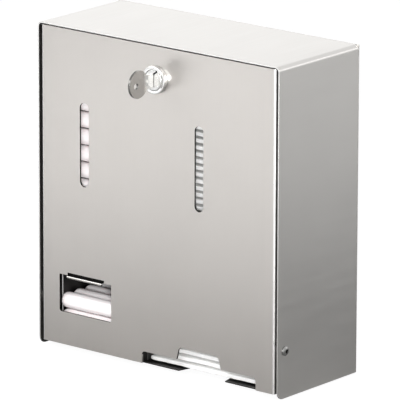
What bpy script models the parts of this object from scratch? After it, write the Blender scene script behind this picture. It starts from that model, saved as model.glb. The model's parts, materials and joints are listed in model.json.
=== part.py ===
"""Wall dispenser for tampons and folded pad packets: a stainless case whose locked front folds down.

X runs right, the front faces -Y and Z is up. The origin is the centre of the back face, on the wall.
Sizes are in millimetres and are turned into metres where a mesh is made.
"""

import math

import bmesh
import bpy
from mathutils import Matrix, Vector

for old in list(bpy.data.objects):
    bpy.data.objects.remove(old, do_unlink=True)

MM = 0.001
GAP = 0.3

# Case
WIDTH = 250.0
DEPTH = 102.0
HEIGHT = 272.0
CASE_SHEET = 1.0
CASE_BEND = 4.0
CASE_FOOT_RADIUS = 6.3
REAR_FLANGE = 14.0
KEYHOLE_OFFSET = 80.0
KEYHOLE_BELOW_TOP = 46.0
KEYHOLE_HEAD = 10.0
KEYHOLE_NECK = 5.0
WALL_HOLE = 6.0
WALL_HOLE_ABOVE_FOOT = 46.0

# Door
DOOR_SHEET = 1.5
DOOR_SIDE_GAP = 2.5
DOOR_TOP_GAP = 1.0
DOOR_FOOT_GAP = 4.3
DOOR_BEND = 2.0
DOOR_RETURN = 15.0
DOOR_TOP_RETURN = 8.0
SLOT_BELOW_TOP = 60.5
SLOT_LENGTH = 70.5
TAMPON_SLOT = 9.6
TAMPON_SLOT_OFFSET = 1.9
PAD_SLOT = 8.9
PAD_SLOT_OFFSET = 0.2
HATCH_ABOVE_FOOT = 32.0
HATCH_HEIGHT = 31.6
HATCH_START_LAP = 4.7
HATCH_END_LAP = 0.1
HATCH_RADIUS = 2.0
LIP_INSET = 9.7
LIP_WIDTH = 36.9
LIP_SLOT = 2.4
LIP_BELOW_SLOT = 2.1
LIP_SHEET = 0.5
LIP_REACH = 2.4
LIP_ROLL = 1.1
LIP_TAIL = 12.0
OUTLET_LAP = 1.0
OUTLET_HEIGHT = 10.2
STEP_OFFSET = 0.3
STEP_TOP = 40.5
STEP_FOOT = 46.0
STEP_HEIGHT = 10.5

# Pivots and stops
PIVOT_DEPTH = 9.4
PIVOT_ABOVE_FOOT = 39.2
RIVET_SHANK = 4.0
RIVET_HEAD = 8.0
RIVET_CROWN = 1.6
RIVET_BORE = 2.2
RIVET_TAIL = 6.6
SPACER_OUTER = 11.0
OPEN_ANGLE = 60.0
STOP_PIN = 6.0
STOP_PIN_LENGTH = 5.2
STOP_BELOW_PIVOT = 24.0
BUFFER_BELOW_TOP = 41.0
BUFFER_SIZE = 9.0
BUFFER_THICK = 4.0
BRACKET_SHEET = 1.2
BRACKET_FOOT = 16.0

# Lock
LOCK_BELOW_TOP = 28.9
BEZEL = 23.0
FACE_PROUD = 4.56
BARREL = 19.0
BARREL_LENGTH = 14.6
PLUG = 12.0
PLUG_COLLAR = 17.0
KEYWAY = (2.6, 8.6)
LOCK_NUT = 24.0
LOCK_NUT_THICK = 4.0
LOCK_WASHER = 26.0
LOCK_WASHER_THICK = 0.9
CAM_SHEET = 2.0
CAM_WIDTH = 12.0
CAM_LAP = 5.1
CAM_SCREW = 9.0
CAM_SCREW_HEAD = 3.0
TAIL_SQUARE = 7.0
KEEPER_SHEET = 1.5
KEEPER_WIDTH = 28.0
KEEPER_CLEARANCE = 1.9
KEEPER_FOOT = 20.0
KEY_BOW = 22.9
KEY_THICK = 2.0
KEY_BOW_OFFSET = 22.87
KEY_HOLE = 5.0
KEY_NECK = 12.0
KEY_BLADE = 8.0
KEY_BLADE_LENGTH = 16.0

# Goods
TAMPON = 14.2
LOOSE_TAMPON = 13.4
TAMPON_LENGTH = 58.0
TAMPON_PITCH = 14.07
TAMPON_DOME = 4.2
TAMPON_FROM_SIDE = 47.3
COLUMN_DEPTH = 12.0
COLUMN_ABOVE_TRAY = 56.1
TRAY_PITCH = 14.0
TRAY_FIRST_DEPTH = 10.5
TRAY_ROW_ABOVE_HATCH = 7.4
PAD_PITCH = 5.56
PAD_BACK_PLAY = 0.5
PAD_FRONT = 13.5
PAD_HEADROOM = 8.0

# Magazines
SHAFT_SHEET = 1.0
SHAFT_PLAY = 1.0
SHAFT_BELOW_TOP = 24.0
SHAFT_FLANGE = 9.5
FLANGE_ABOVE_HATCH = 12.4
SHAFT_CUT_BACK = 10.0
MAGAZINE_BACK_ROOM = 14.0
COLUMN_PLAY = 0.6
RAMP_PLAY = 0.35
RAMP_END_ROOM = 4.0
RAMP_GAP_SHARE = 0.3
RAMP_UPSTAND = 8.0
RAMP_DOWNTURN = 12.0
TRAY_UPSTAND = 12.0
PAD_SHAFT_BELOW_TOP = 48.0
PAD_SHAFT_ABOVE_FLOOR = 14.3
PAD_SHAFT_PLAY = 1.0
PAD_SIDE_ROOM = 20.3
MAGAZINE_AISLE = 30.4
FLOOR_SHEET = 1.0
FLOOR_ABOVE_FOOT = 3.7
FLOOR_FRONT = 5.8
FLOOR_UPSTAND = 20.0
FINGER_OFFSET = -1.4
FINGER_WIDE = 48.0
FINGER_NARROW = 41.5
FINGER_REACH = 47.0
FINGER_TAPER = 14.0
STUD_FROM_END = 12.0
STUD = 4.0
STUD_LENGTH = 7.5
STUD_NUT = 7.0
STUD_NUT_THICK = 3.2

FRONT = -DEPTH
FOOT = -HEIGHT / 2
TOP = HEIGHT / 2
SIDE = WIDTH / 2
INNER = SIDE - CASE_SHEET
DOOR_SIDE = INNER - DOOR_SIDE_GAP
DOOR_TOP = TOP - CASE_SHEET - DOOR_TOP_GAP
DOOR_FOOT = FOOT + DOOR_FOOT_GAP
PIVOT = (PIVOT_DEPTH, FOOT + PIVOT_ABOVE_FOOT)
PIVOT_HOLE = RIVET_SHANK + 2 * GAP
BEHIND_DOOR = DOOR_SHEET + GAP
LOCK_HEIGHT = TOP - LOCK_BELOW_TOP
MAGAZINE_DEPTH = DEPTH - MAGAZINE_BACK_ROOM
PAD_DEPTH = MAGAZINE_DEPTH - PAD_FRONT - PAD_BACK_PLAY
TRAY_ROWS = 1 + int((MAGAZINE_DEPTH - TRAY_FIRST_DEPTH - TAMPON / 2) / TRAY_PITCH)
SHAFT_TOP = TOP - SHAFT_BELOW_TOP
PAD_SHAFT_TOP = TOP - PAD_SHAFT_BELOW_TOP
FLOOR_TOP = FOOT + FLOOR_ABOVE_FOOT
PAD_SHAFT_FOOT = FLOOR_TOP + PAD_SHAFT_ABOVE_FLOOR
HATCH_FOOT = FOOT + HATCH_ABOVE_FOOT
HATCH_TOP = HATCH_FOOT + HATCH_HEIGHT
SHAFT_FLANGE_FOOT = HATCH_TOP + FLANGE_ABOVE_HATCH
TRAY_TOP_ROW = HATCH_FOOT + TRAY_ROW_ABOVE_HATCH
COLUMN_FOOT = TRAY_TOP_ROW + COLUMN_ABOVE_TRAY
COLUMN_COUNT = int((SHAFT_TOP - COLUMN_FOOT) / TAMPON_PITCH)
TAMPON_CENTRE = -SIDE + TAMPON_FROM_SIDE
TAMPON_LEFT = TAMPON_CENTRE - TAMPON_LENGTH / 2 - SHAFT_PLAY
TAMPON_RIGHT = TAMPON_CENTRE + TAMPON_LENGTH / 2 + SHAFT_PLAY
PAD_LEFT = TAMPON_RIGHT + MAGAZINE_AISLE
PAD_RIGHT = SIDE - PAD_SIDE_ROOM
PAD_WIDTH = PAD_RIGHT - PAD_LEFT - 2 * PAD_SHAFT_PLAY
PAD_CENTRE = (PAD_LEFT + PAD_RIGHT) / 2
PAD_COUNT = int((PAD_SHAFT_TOP - PAD_HEADROOM - FLOOR_TOP - GAP) / PAD_PITCH)
HATCH = (TAMPON_LEFT + HATCH_START_LAP, TAMPON_RIGHT - HATCH_END_LAP, HATCH_FOOT, HATCH_TOP)
LIP = (HATCH[0] + LIP_INSET, HATCH[0] + LIP_INSET + LIP_WIDTH)
TRAY_TOP = TRAY_TOP_ROW - TRAY_PITCH - TAMPON / 2 - 0.1


def new_object(name, bm):
    """Makes a mesh object from a bmesh drawn in millimetres."""
    bmesh.ops.remove_doubles(bm, verts=bm.verts, dist=1e-4)
    bmesh.ops.recalc_face_normals(bm, faces=bm.faces)
    bmesh.ops.scale(bm, vec=(MM, MM, MM), verts=bm.verts)
    mesh = bpy.data.meshes.new(name)
    bm.to_mesh(mesh)
    bm.free()
    obj = bpy.data.objects.new(name, mesh)
    bpy.context.scene.collection.objects.link(obj)
    return obj


def prism(outline, axis, low, high, name="cutter"):
    """A closed outline drawn across one axis, pushed from low to high along it.

    The outline holds (depth, z) pairs for axis X, (x, z) for axis Y as depths and (x, depth) for Z.
    """
    bm = bmesh.new()
    rings = []
    for level in (low, high):
        ring = []
        for a, b in outline:
            place = {"X": (level, FRONT + a, b), "Y": (a, FRONT + level, b), "Z": (a, FRONT + b, level)}
            ring.append(bm.verts.new(place[axis]))
        rings.append(ring)
    count = len(outline)
    for i in range(count):
        j = (i + 1) % count
        bm.faces.new((rings[0][i], rings[0][j], rings[1][j], rings[1][i]))
    bm.faces.new(rings[0])
    bm.faces.new(rings[1])
    return new_object(name, bm)


def box(x0, x1, d0, d1, z0, z1, name="cutter"):
    """A block between two X values, two depths behind the front plane and two heights."""
    return prism([(x0, z0), (x1, z0), (x1, z1), (x0, z1)], "Y", d0, d1, name)


def circle(a, b, radius, sides, start=0.0):
    """Points round a circle."""
    turn = 2 * math.pi / sides
    return [
        (a + radius * math.cos(start + turn * i), b + radius * math.sin(start + turn * i))
        for i in range(sides)
    ]


def rounded(x0, x1, z0, z1, radii, steps=5):
    """A rectangle with its own radius at the lower left, lower right, upper right and upper left."""
    signs = ((1, 1), (-1, 1), (-1, -1), (1, -1))
    corners = ((x0, z0), (x1, z0), (x1, z1), (x0, z1))
    points = []
    for k in range(4):
        radius = radii[k]
        if radius == 0:
            points.append(corners[k])
            continue
        cx = corners[k][0] + signs[k][0] * radius
        cz = corners[k][1] + signs[k][1] * radius
        for i in range(steps + 1):
            angle = math.pi + k * math.pi / 2 + i * math.pi / 2 / steps
            points.append((cx + radius * math.cos(angle), cz + radius * math.sin(angle)))
    return points


def strip(path, thick):
    """The outline of a bent sheet of even thickness whose left-hand face follows a path of points."""
    offset = []
    for i, here in enumerate(path):
        before = Vector(path[max(i - 1, 0)])
        after = Vector(path[min(i + 1, len(path) - 1)])
        into = (Vector(here) - before) if i else (after - Vector(here))
        out = (after - Vector(here)) if i < len(path) - 1 else into
        n0 = Vector((into.y, -into.x)).normalized()
        n1 = Vector((out.y, -out.x)).normalized()
        mid = (n0 + n1).normalized()
        offset.append(tuple(Vector(here) + mid * (thick / max(mid.dot(n0), 0.3))))
    return list(path) + offset[::-1]


def lathe(profile, axis, place, sides, name="cutter", start=0.0):
    """Turns (radius, distance) pairs round an axis through a place; a radius of 0 closes the end."""
    bm = bmesh.new()
    rings = []
    for radius, along in profile:
        ring = []
        for a, b in circle(0.0, 0.0, radius, sides if radius else 1, start):
            local = {"X": (along, a, b), "Y": (a, along, b), "Z": (a, b, along)}[axis]
            ring.append(bm.verts.new([place[k] + local[k] for k in range(3)]))
        rings.append(ring)
    closed = profile[0][0] != 0
    pairs = list(zip(rings, rings[1:]))
    if closed:
        pairs.append((rings[-1], rings[0]))
    for one, two in pairs:
        for i in range(sides):
            j = (i + 1) % sides
            corners = [one[i % len(one)], one[j % len(one)], two[j % len(two)], two[i % len(two)]]
            seen = []
            for corner in corners:
                if corner not in seen:
                    seen.append(corner)
            bm.faces.new(seen)
    return new_object(name, bm)


def combine(target, others, operation):
    """Joins bodies to a target, or cuts them from it, with the exact solver."""
    bpy.context.view_layer.objects.active = target
    for other in others:
        modifier = target.modifiers.new(operation.lower(), "BOOLEAN")
        modifier.operation = operation
        modifier.solver = "EXACT"
        modifier.object = other
        with bpy.context.temp_override(object=target, active_object=target):
            bpy.ops.object.modifier_apply(modifier=modifier.name)
        bpy.data.objects.remove(other, do_unlink=True)
    return target


def cut(target, *others):
    """Cuts bodies from a target."""
    return combine(target, others, "DIFFERENCE")


def add(target, *others):
    """Joins overlapping bodies to a target."""
    return combine(target, others, "UNION")


def material(name, colour, metallic, roughness):
    """A Principled material."""
    made = bpy.data.materials.new(name)
    made.use_nodes = True
    shader = made.node_tree.nodes["Principled BSDF"]
    shader.inputs["Base Color"].default_value = (*colour, 1.0)
    shader.inputs["Metallic"].default_value = metallic
    shader.inputs["Roughness"].default_value = roughness
    return made


def finish(obj, name, colour, metallic, roughness):
    """Names an object and gives it its own material."""
    obj.name = name
    obj.data.materials.clear()
    obj.data.materials.append(material(name, colour, metallic, roughness))
    return obj


def pivoted(obj, depth, height, x=0.0):
    """Moves an object's origin onto its joint axis without moving its shape."""
    place = Vector((x, FRONT + depth, height)) * MM
    obj.data.transform(Matrix.Translation(-place))
    obj.location = place
    return obj


def pivot_bore():
    """A rod right across the case on the door's axis, which cuts the rivet holes."""
    radius = PIVOT_HOLE / 2
    reach = SIDE + 5
    return lathe([(0, -reach), (radius, -reach), (radius, reach), (0, reach)], "X",
                 (0, FRONT + PIVOT[0], PIVOT[1]), 24)


STEEL = (0.62, 0.61, 0.6)
ZINC = (0.7, 0.7, 0.69)
CHROME = (0.85, 0.85, 0.85)
RUBBER = (0.03, 0.03, 0.03)
WHITE = (0.9, 0.9, 0.89)

# Housing: a wrap of sheet for the top and both sides, with flanges that are spot welded to the back.
rear = DEPTH - CASE_SHEET - GAP
bend = CASE_BEND
outer = rounded(-SIDE, SIDE, FOOT, TOP, (0, 0, bend, bend))
inner = rounded(-INNER, INNER, FOOT, TOP - CASE_SHEET, (0, 0, bend - CASE_SHEET, bend - CASE_SHEET))
wrap = prism(outer[1:] + outer[:1] + inner[:1] + inner[:0:-1], "Y", 0.0, rear, "wrap")
flange = rear - CASE_SHEET
over = 0.5
add(
    wrap,
    box(-INNER - over, -INNER + REAR_FLANGE, flange, rear, FOOT + 2, TOP - bend - 1),
    box(INNER - REAR_FLANGE, INNER + over, flange, rear, FOOT + 2, TOP - bend - 1),
    box(-INNER + bend + 1, INNER - bend - 1, flange, rear, TOP - REAR_FLANGE, TOP - CASE_SHEET + over),
)
corner = [(-5.0, FOOT - 5.0), (CASE_FOOT_RADIUS, FOOT - 5.0)]
corner += [(CASE_FOOT_RADIUS * (1 - math.sin(a)), FOOT + CASE_FOOT_RADIUS * (1 - math.cos(a)))
           for a in [math.pi * i / 12 for i in range(7)]]
corner += [(-5.0, FOOT + CASE_FOOT_RADIUS)]
cut(wrap, prism(corner, "X", -SIDE - 5, SIDE + 5), pivot_bore())
finish(wrap, "housing_shell", STEEL, 1.0, 0.35)

# Back plate, hung by its keyholes and screwed down below.
plate = box(-SIDE, SIDE, DEPTH - CASE_SHEET, DEPTH, FOOT, TOP, "plate")
key_z = TOP - KEYHOLE_BELOW_TOP
for side in (-1, 1):
    x = side * KEYHOLE_OFFSET
    neck = KEYHOLE_NECK / 2
    head = KEYHOLE_HEAD / 2
    drop = math.asin(neck / head)
    outline = [
        (x + head * math.sin(a), key_z - head * math.cos(a))
        for a in [math.pi * 2 * i / 20 for i in range(20)]
        if abs(a - math.pi) > drop
    ]
    split = next(i for i, p in enumerate(outline) if p[0] < x - 1e-6)
    slot = [
        (x + neck * math.cos(a), key_z + KEYHOLE_HEAD + neck * math.sin(a))
        for a in [math.pi * i / 8 for i in range(9)]
    ]
    outline = outline[:split] + slot + outline[split:]
    cut(plate, prism(outline, "Y", DEPTH - 10, DEPTH + 10))
    cut(
        plate,
        prism(circle(x, FOOT + WALL_HOLE_ABOVE_FOOT, WALL_HOLE / 2, 20), "Y", DEPTH - 10, DEPTH + 10),
    )
finish(plate, "back_plate", STEEL, 1.0, 0.35)

# Keeper: an angle welded under the top, behind which the cam turns.
keeper_depth = BARREL_LENGTH - KEEPER_SHEET
keeper_top = TOP - CASE_SHEET - GAP
keeper_foot = LOCK_HEIGHT + LOCK_WASHER / 2 + KEEPER_CLEARANCE
keeper = box(-KEEPER_WIDTH / 2, KEEPER_WIDTH / 2, keeper_depth - 1.4, keeper_depth - 1.4 + KEEPER_SHEET,
             keeper_foot, keeper_top, "keeper")
add(keeper, box(-KEEPER_WIDTH / 2, KEEPER_WIDTH / 2, keeper_depth - 0.9, keeper_depth + KEEPER_FOOT,
                keeper_top - KEEPER_SHEET, keeper_top))
finish(keeper, "lock_keeper", ZINC, 1.0, 0.4)

# Pivot rivets with their spacers, stop pins, and the rubber pads on small brackets.
buffer_height = TOP - BUFFER_BELOW_TOP
pivot_y = FRONT + PIVOT[0]
for side, label in ((-1, "left"), (1, "right")):
    shank = RIVET_SHANK / 2
    bore = RIVET_BORE / 2
    outside = SIDE + GAP
    inside = DOOR_SIDE - DOOR_SHEET - GAP
    crown = [
        (bore, outside - 4.0),
        (bore, outside + RIVET_CROWN),
        (RIVET_HEAD * 0.22, outside + RIVET_CROWN),
        (RIVET_HEAD * 0.4, outside + RIVET_CROWN * 0.66),
        (RIVET_HEAD / 2, outside + RIVET_CROWN * 0.2),
        (RIVET_HEAD / 2, outside),
        (shank, outside),
        (shank, inside),
        (RIVET_TAIL / 2, inside - 0.6),
        (RIVET_TAIL / 2, inside - 2.4),
        (shank, inside - 3.4),
        (bore, inside - 3.4),
    ]
    place = (0, pivot_y, PIVOT[1])
    rivet = lathe([(r, side * x) for r, x in crown], "X", place, 24, "rivet")
    finish(rivet, f"pivot_rivet_{label}", ZINC, 1.0, 0.35)

    ring = [
        (PIVOT_HOLE / 2, INNER - GAP),
        (SPACER_OUTER / 2, INNER - GAP),
        (SPACER_OUTER / 2, DOOR_SIDE + GAP),
        (PIVOT_HOLE / 2, DOOR_SIDE + GAP),
    ]
    spacer = lathe([(r, side * x) for r, x in ring], "X", place, 24, "spacer")
    finish(spacer, f"pivot_spacer_{label}", ZINC, 1.0, 0.4)

    angle = math.radians(OPEN_ANGLE)
    back = DOOR_RETURN - PIVOT[0]
    touch = (back * math.cos(angle) + STOP_BELOW_PIVOT * math.sin(angle),
             back * math.sin(angle) - STOP_BELOW_PIVOT * math.cos(angle))
    away = STOP_PIN / 2 + GAP
    pin_y = pivot_y + touch[0] + away * math.cos(angle)
    pin_z = PIVOT[1] + touch[1] + away * math.sin(angle)
    pin_profile = [
        (0, INNER - GAP),
        (STOP_PIN / 2, INNER - GAP),
        (STOP_PIN / 2, INNER - STOP_PIN_LENGTH + 0.6),
        (STOP_PIN / 2 - 0.6, INNER - STOP_PIN_LENGTH),
        (0, INNER - STOP_PIN_LENGTH),
    ]
    pin = lathe([(r, side * x) for r, x in pin_profile], "X", (0, pin_y, pin_z), 20, "pin")
    finish(pin, f"stop_pin_{label}", ZINC, 1.0, 0.4)

    pad_depth = DOOR_RETURN + GAP
    leg = pad_depth + BUFFER_THICK + GAP
    wall = INNER - GAP
    edge = wall - BUFFER_SIZE
    low = buffer_height - BUFFER_SIZE / 2
    high = buffer_height + BUFFER_SIZE / 2
    outline = [
        (side * edge, leg),
        (side * wall, leg),
        (side * wall, leg + BRACKET_FOOT),
        (side * (wall - BRACKET_SHEET), leg + BRACKET_FOOT),
        (side * (wall - BRACKET_SHEET), leg + BRACKET_SHEET),
        (side * edge, leg + BRACKET_SHEET),
    ]
    bracket = prism(outline, "Z", low, high, "bracket")
    finish(bracket, f"buffer_bracket_{label}", STEEL, 1.0, 0.4)
    pad_x = side * (wall - BUFFER_SIZE / 2)
    pad_profile = [
        (0, pad_depth),
        (BUFFER_SIZE / 2 - 1.2, pad_depth),
        (BUFFER_SIZE / 2, pad_depth + 1.2),
        (BUFFER_SIZE / 2, pad_depth + BUFFER_THICK),
        (0, pad_depth + BUFFER_THICK),
    ]
    buffer = lathe(pad_profile, "Y", (pad_x, FRONT, buffer_height), 20, "buffer")
    finish(buffer, f"door_buffer_{label}", RUBBER, 0.0, 0.7)

# Door: a pan with bent side returns, a top return and its openings, and the weld studs behind it.
outer = rounded(-DOOR_SIDE, DOOR_SIDE, 0.0, DOOR_RETURN, (DOOR_BEND, DOOR_BEND, 0, 0))
inside_bend = DOOR_BEND - DOOR_SHEET
inner = rounded(-DOOR_SIDE + DOOR_SHEET, DOOR_SIDE - DOOR_SHEET, DOOR_SHEET, DOOR_RETURN,
                (inside_bend, inside_bend, 0, 0))
half = len(outer) - 2
outline = [outer[-1]] + outer[:half] + [outer[-2]] + [inner[-2]] + inner[:half][::-1] + [inner[-1]]
door = prism(outline, "Z", DOOR_FOOT, DOOR_TOP, "door")
reach = DOOR_SIDE - DOOR_BEND - 2
add(door, box(-reach, reach, DOOR_SHEET / 2, DOOR_TOP_RETURN, DOOR_TOP - DOOR_SHEET, DOOR_TOP - 0.01))

to_stud = SHAFT_SHEET + SHAFT_FLANGE / 2 + 0.4
tampon_flange_left = TAMPON_LEFT - to_stud
tampon_flange_right = TAMPON_RIGHT + to_stud
pad_flange_left = PAD_LEFT - to_stud
pad_flange_right = PAD_RIGHT + to_stud
tampon_stud_heights = (SHAFT_TOP - STUD_FROM_END, SHAFT_FLANGE_FOOT + STUD_FROM_END)
pad_stud_heights = (PAD_SHAFT_TOP - STUD_FROM_END, PAD_SHAFT_FOOT + STUD_FROM_END)
stud_places = [(x, z) for x in (tampon_flange_left, tampon_flange_right) for z in tampon_stud_heights]
stud_places += [(x, z) for x in (pad_flange_left, pad_flange_right) for z in pad_stud_heights]
for number, (x, z) in enumerate(stud_places, 1):
    tip = DOOR_SHEET + STUD_LENGTH
    profile = [(0, BEHIND_DOOR), (STUD / 2, BEHIND_DOOR), (STUD / 2, tip - 0.5),
               (STUD / 2 - 0.5, tip), (0, tip)]
    stud = lathe(profile, "Y", (x, FRONT, z), 16, "stud")
    pivoted(finish(stud, f"weld_stud_{number}", STEEL, 1.0, 0.4), *PIVOT)

slot_top = TOP - SLOT_BELOW_TOP
slot_foot = slot_top - SLOT_LENGTH
sight_slots = (
    (TAMPON_CENTRE + TAMPON_SLOT_OFFSET, TAMPON_SLOT),
    (PAD_CENTRE + PAD_SLOT_OFFSET, PAD_SLOT),
)
for centre, width in sight_slots:
    radius = width / 2
    slot = rounded(centre - radius, centre + radius, slot_foot, slot_top, (radius,) * 4, 6)
    cut(door, prism(slot, "Y", -5, 5))
cut(
    door,
    prism(rounded(*HATCH, (HATCH_RADIUS, HATCH_RADIUS, 0, 0)), "Y", -5, 5),
)
cut(door, box(LIP[0] - 1.0, LIP[1] + 1.0, -5, 5, HATCH[3] - 5, HATCH[3] + LIP_SLOT))
notch_top = DOOR_FOOT + OUTLET_HEIGHT
outlet = (PAD_CENTRE - PAD_WIDTH / 2 + OUTLET_LAP, PAD_CENTRE + PAD_WIDTH / 2 - OUTLET_LAP)
cut(door, prism(rounded(*outlet, DOOR_FOOT - 5, notch_top, (0, 0, 3.0, 3.0)), "Y", -5, 5))
step_centre = PAD_CENTRE + STEP_OFFSET
step = [
    (step_centre - STEP_FOOT / 2, notch_top - 2),
    (step_centre + STEP_FOOT / 2, notch_top - 2),
    (step_centre + STEP_FOOT / 2, notch_top),
    (step_centre + STEP_TOP / 2 + 0.6, notch_top + STEP_HEIGHT - 2),
    (step_centre + STEP_TOP / 2 - 1.5, notch_top + STEP_HEIGHT),
    (step_centre - STEP_TOP / 2 + 1.5, notch_top + STEP_HEIGHT),
    (step_centre - STEP_TOP / 2 - 0.6, notch_top + STEP_HEIGHT - 2),
    (step_centre - STEP_FOOT / 2, notch_top),
]
cut(door, prism(step, "Y", -5, 5))
cut(door, prism(circle(0, LOCK_HEIGHT, BARREL / 2 + GAP, 32), "Y", -5, 5))
cut(door, pivot_bore())
pivoted(finish(door, "front_door", STEEL, 1.0, 0.32), *PIVOT)

# Hatch lip: a strip spot welded behind the door, which comes out through the slot and curls under.
lip_z = HATCH[3] + LIP_SLOT - LIP_BELOW_SLOT
curl = (LIP_ROLL - LIP_REACH, lip_z - LIP_ROLL)
path = [
    (BEHIND_DOOR, lip_z + LIP_TAIL),
    (BEHIND_DOOR, lip_z + 1.2),
    (BEHIND_DOOR - 0.5, lip_z + 0.35),
    (BEHIND_DOOR - 1.4, lip_z),
]
path += [(curl[0] + LIP_ROLL * math.cos(a), curl[1] + LIP_ROLL * math.sin(a))
         for a in [math.pi / 2 + math.pi * 1.3 * i / 13 for i in range(14)]]
lip = prism(strip(path[::-1], LIP_SHEET), "X", *LIP, "lip")
pivoted(finish(lip, "hatch_lip", STEEL, 1.0, 0.3), *PIVOT)

# Tampon magazine: two side plates, a folded rear wall, a sloping ramp and the tray floor. The column
# stands just behind the door. Its tampons roll down the ramp to the rear and come back along the tray.
tampon_radius = TAMPON / 2
column_rear = COLUMN_DEPTH + tampon_radius + COLUMN_PLAY
rear_face = MAGAZINE_DEPTH
column_foot = Vector((COLUMN_DEPTH, COLUMN_FOOT))
tray_last = TRAY_FIRST_DEPTH + TRAY_PITCH * (TRAY_ROWS - 1)
run = tray_last - COLUMN_DEPTH
fall = COLUMN_FOOT - (TRAY_TOP_ROW + TAMPON_PITCH)
reach = math.hypot(run, fall)
ramp_count = int(reach / TAMPON_PITCH - RAMP_GAP_SHARE)
span = TAMPON_PITCH * ramp_count
swing = min((span**2 + reach**2 - TAMPON_PITCH**2) / (2 * span * reach), 1.0)
slope = math.atan2(fall, run) - math.acos(swing)
along = Vector((math.cos(slope), -math.sin(slope)))
below = Vector((-math.sin(slope), -math.cos(slope)))
roof = column_foot - below * (tampon_radius + COLUMN_PLAY)
slope_top = roof.y - (column_rear - roof.x) * math.tan(slope)
slope_foot = roof.y - (rear_face - roof.x) * math.tan(slope)
side_outline = [
    (BEHIND_DOOR, SHAFT_FLANGE_FOOT),
    (SHAFT_CUT_BACK, SHAFT_FLANGE_FOOT),
    (SHAFT_CUT_BACK, TRAY_TOP - SHAFT_SHEET),
    (rear_face + SHAFT_SHEET, TRAY_TOP - SHAFT_SHEET),
    (rear_face + SHAFT_SHEET, slope_foot),
    (column_rear + SHAFT_SHEET, slope_top),
    (column_rear + SHAFT_SHEET, SHAFT_TOP),
    (BEHIND_DOOR, SHAFT_TOP),
]
for side, label, face, flange_x in (
    (-1, "left", TAMPON_LEFT, tampon_flange_left),
    (1, "right", TAMPON_RIGHT, tampon_flange_right),
):
    far = face + side * SHAFT_SHEET
    panel = prism(side_outline, "X", min(face, far), max(face, far), "panel")
    edge = face + side * (SHAFT_SHEET + SHAFT_FLANGE)
    inner_x = face + side * SHAFT_SHEET / 2
    add(panel, box(min(inner_x, edge), max(inner_x, edge), BEHIND_DOOR + 0.01, BEHIND_DOOR + SHAFT_SHEET,
                   SHAFT_FLANGE_FOOT + 0.02, SHAFT_TOP - 0.02))
    for z in tampon_stud_heights:
        cut(panel, prism(circle(flange_x, z, STUD / 2 + GAP, 12), "Y", 0, 6))
    pivoted(finish(panel, f"shaft_side_{label}", STEEL, 1.0, 0.4), *PIVOT)

inside = (TAMPON_LEFT + GAP, TAMPON_RIGHT - GAP)
back_path = [
    (column_rear, SHAFT_TOP),
    (column_rear, slope_top),
    (rear_face, slope_foot),
    (rear_face, TRAY_TOP + GAP),
]
back = prism(strip(back_path[::-1], SHAFT_SHEET), "X", *inside, "back")
pivoted(finish(back, "shaft_back", STEEL, 1.0, 0.4), *PIVOT)

ramp_start = column_foot + below * (tampon_radius + RAMP_PLAY)
ramp_head_depth = BEHIND_DOOR + SHAFT_SHEET + GAP
ramp_head = ramp_start - along * ((ramp_start.x - ramp_head_depth) / along.x)
ramp_foot = ramp_start + along * (span - tampon_radius - RAMP_END_ROOM)
ramp_path = [
    (ramp_head.x, ramp_head.y + RAMP_UPSTAND),
    tuple(ramp_head),
    tuple(ramp_foot),
    (ramp_foot.x + 0.2, ramp_foot.y - RAMP_DOWNTURN),
]
ramp = prism(strip(ramp_path, SHAFT_SHEET), "X", *inside, "ramp")
pivoted(finish(ramp, "return_ramp", STEEL, 1.0, 0.4), *PIVOT)

tray_path = [
    (BEHIND_DOOR, TRAY_TOP),
    (rear_face + SHAFT_SHEET + GAP, TRAY_TOP),
    (rear_face + SHAFT_SHEET + GAP, TRAY_TOP + TRAY_UPSTAND),
]
tray = prism(strip(tray_path, SHAFT_SHEET), "X", *inside, "tray")
pivoted(finish(tray, "pickup_tray", STEEL, 1.0, 0.4), *PIVOT)


def tampon(depth, height, across=TAMPON):
    """One wrapped tampon lying along X, with domed ends."""
    half_length = TAMPON_LENGTH / 2
    radius = across / 2
    profile = [(0, -half_length)]
    for i in range(1, 4):
        angle = math.pi / 2 * i / 3
        profile.append((radius * math.sin(angle), -half_length + TAMPON_DOME * (1 - math.cos(angle))))
    profile += [(r, -x) for r, x in profile[::-1]]
    return lathe(profile, "X", (TAMPON_CENTRE, FRONT + depth, height), 16, "tampon")


column = [(COLUMN_DEPTH, COLUMN_FOOT + TAMPON_PITCH * i) for i in range(COLUMN_COUNT)]
falling = [tuple(column_foot + along * (TAMPON_PITCH * i)) for i in range(1, ramp_count + 1)]
falling.append((tray_last, TRAY_TOP_ROW + TAMPON_PITCH))
obj = tampon(*column[0])
for place in column[1:]:
    add(obj, tampon(*place))
pivoted(finish(obj, "tampon_column", WHITE, 0.0, 0.5), *PIVOT)
for number, (depth, height) in enumerate(falling, 1):
    obj = tampon(depth, height, LOOSE_TAMPON)
    pivoted(finish(obj, f"ramp_tampon_{number}", WHITE, 0.0, 0.5), *PIVOT)

obj = tampon(TRAY_FIRST_DEPTH, TRAY_TOP_ROW - TRAY_PITCH)
for i in range(1, TRAY_ROWS):
    for j in (1, 0):
        add(obj, tampon(TRAY_FIRST_DEPTH + TRAY_PITCH * i, TRAY_TOP_ROW - TRAY_PITCH * j))
pivoted(finish(obj, "tampons_in_tray", WHITE, 0.0, 0.5), *PIVOT)
obj = tampon(TRAY_FIRST_DEPTH, TRAY_TOP_ROW, LOOSE_TAMPON)
pivoted(finish(obj, "front_tampon", WHITE, 0.0, 0.5), *PIVOT)

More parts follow.
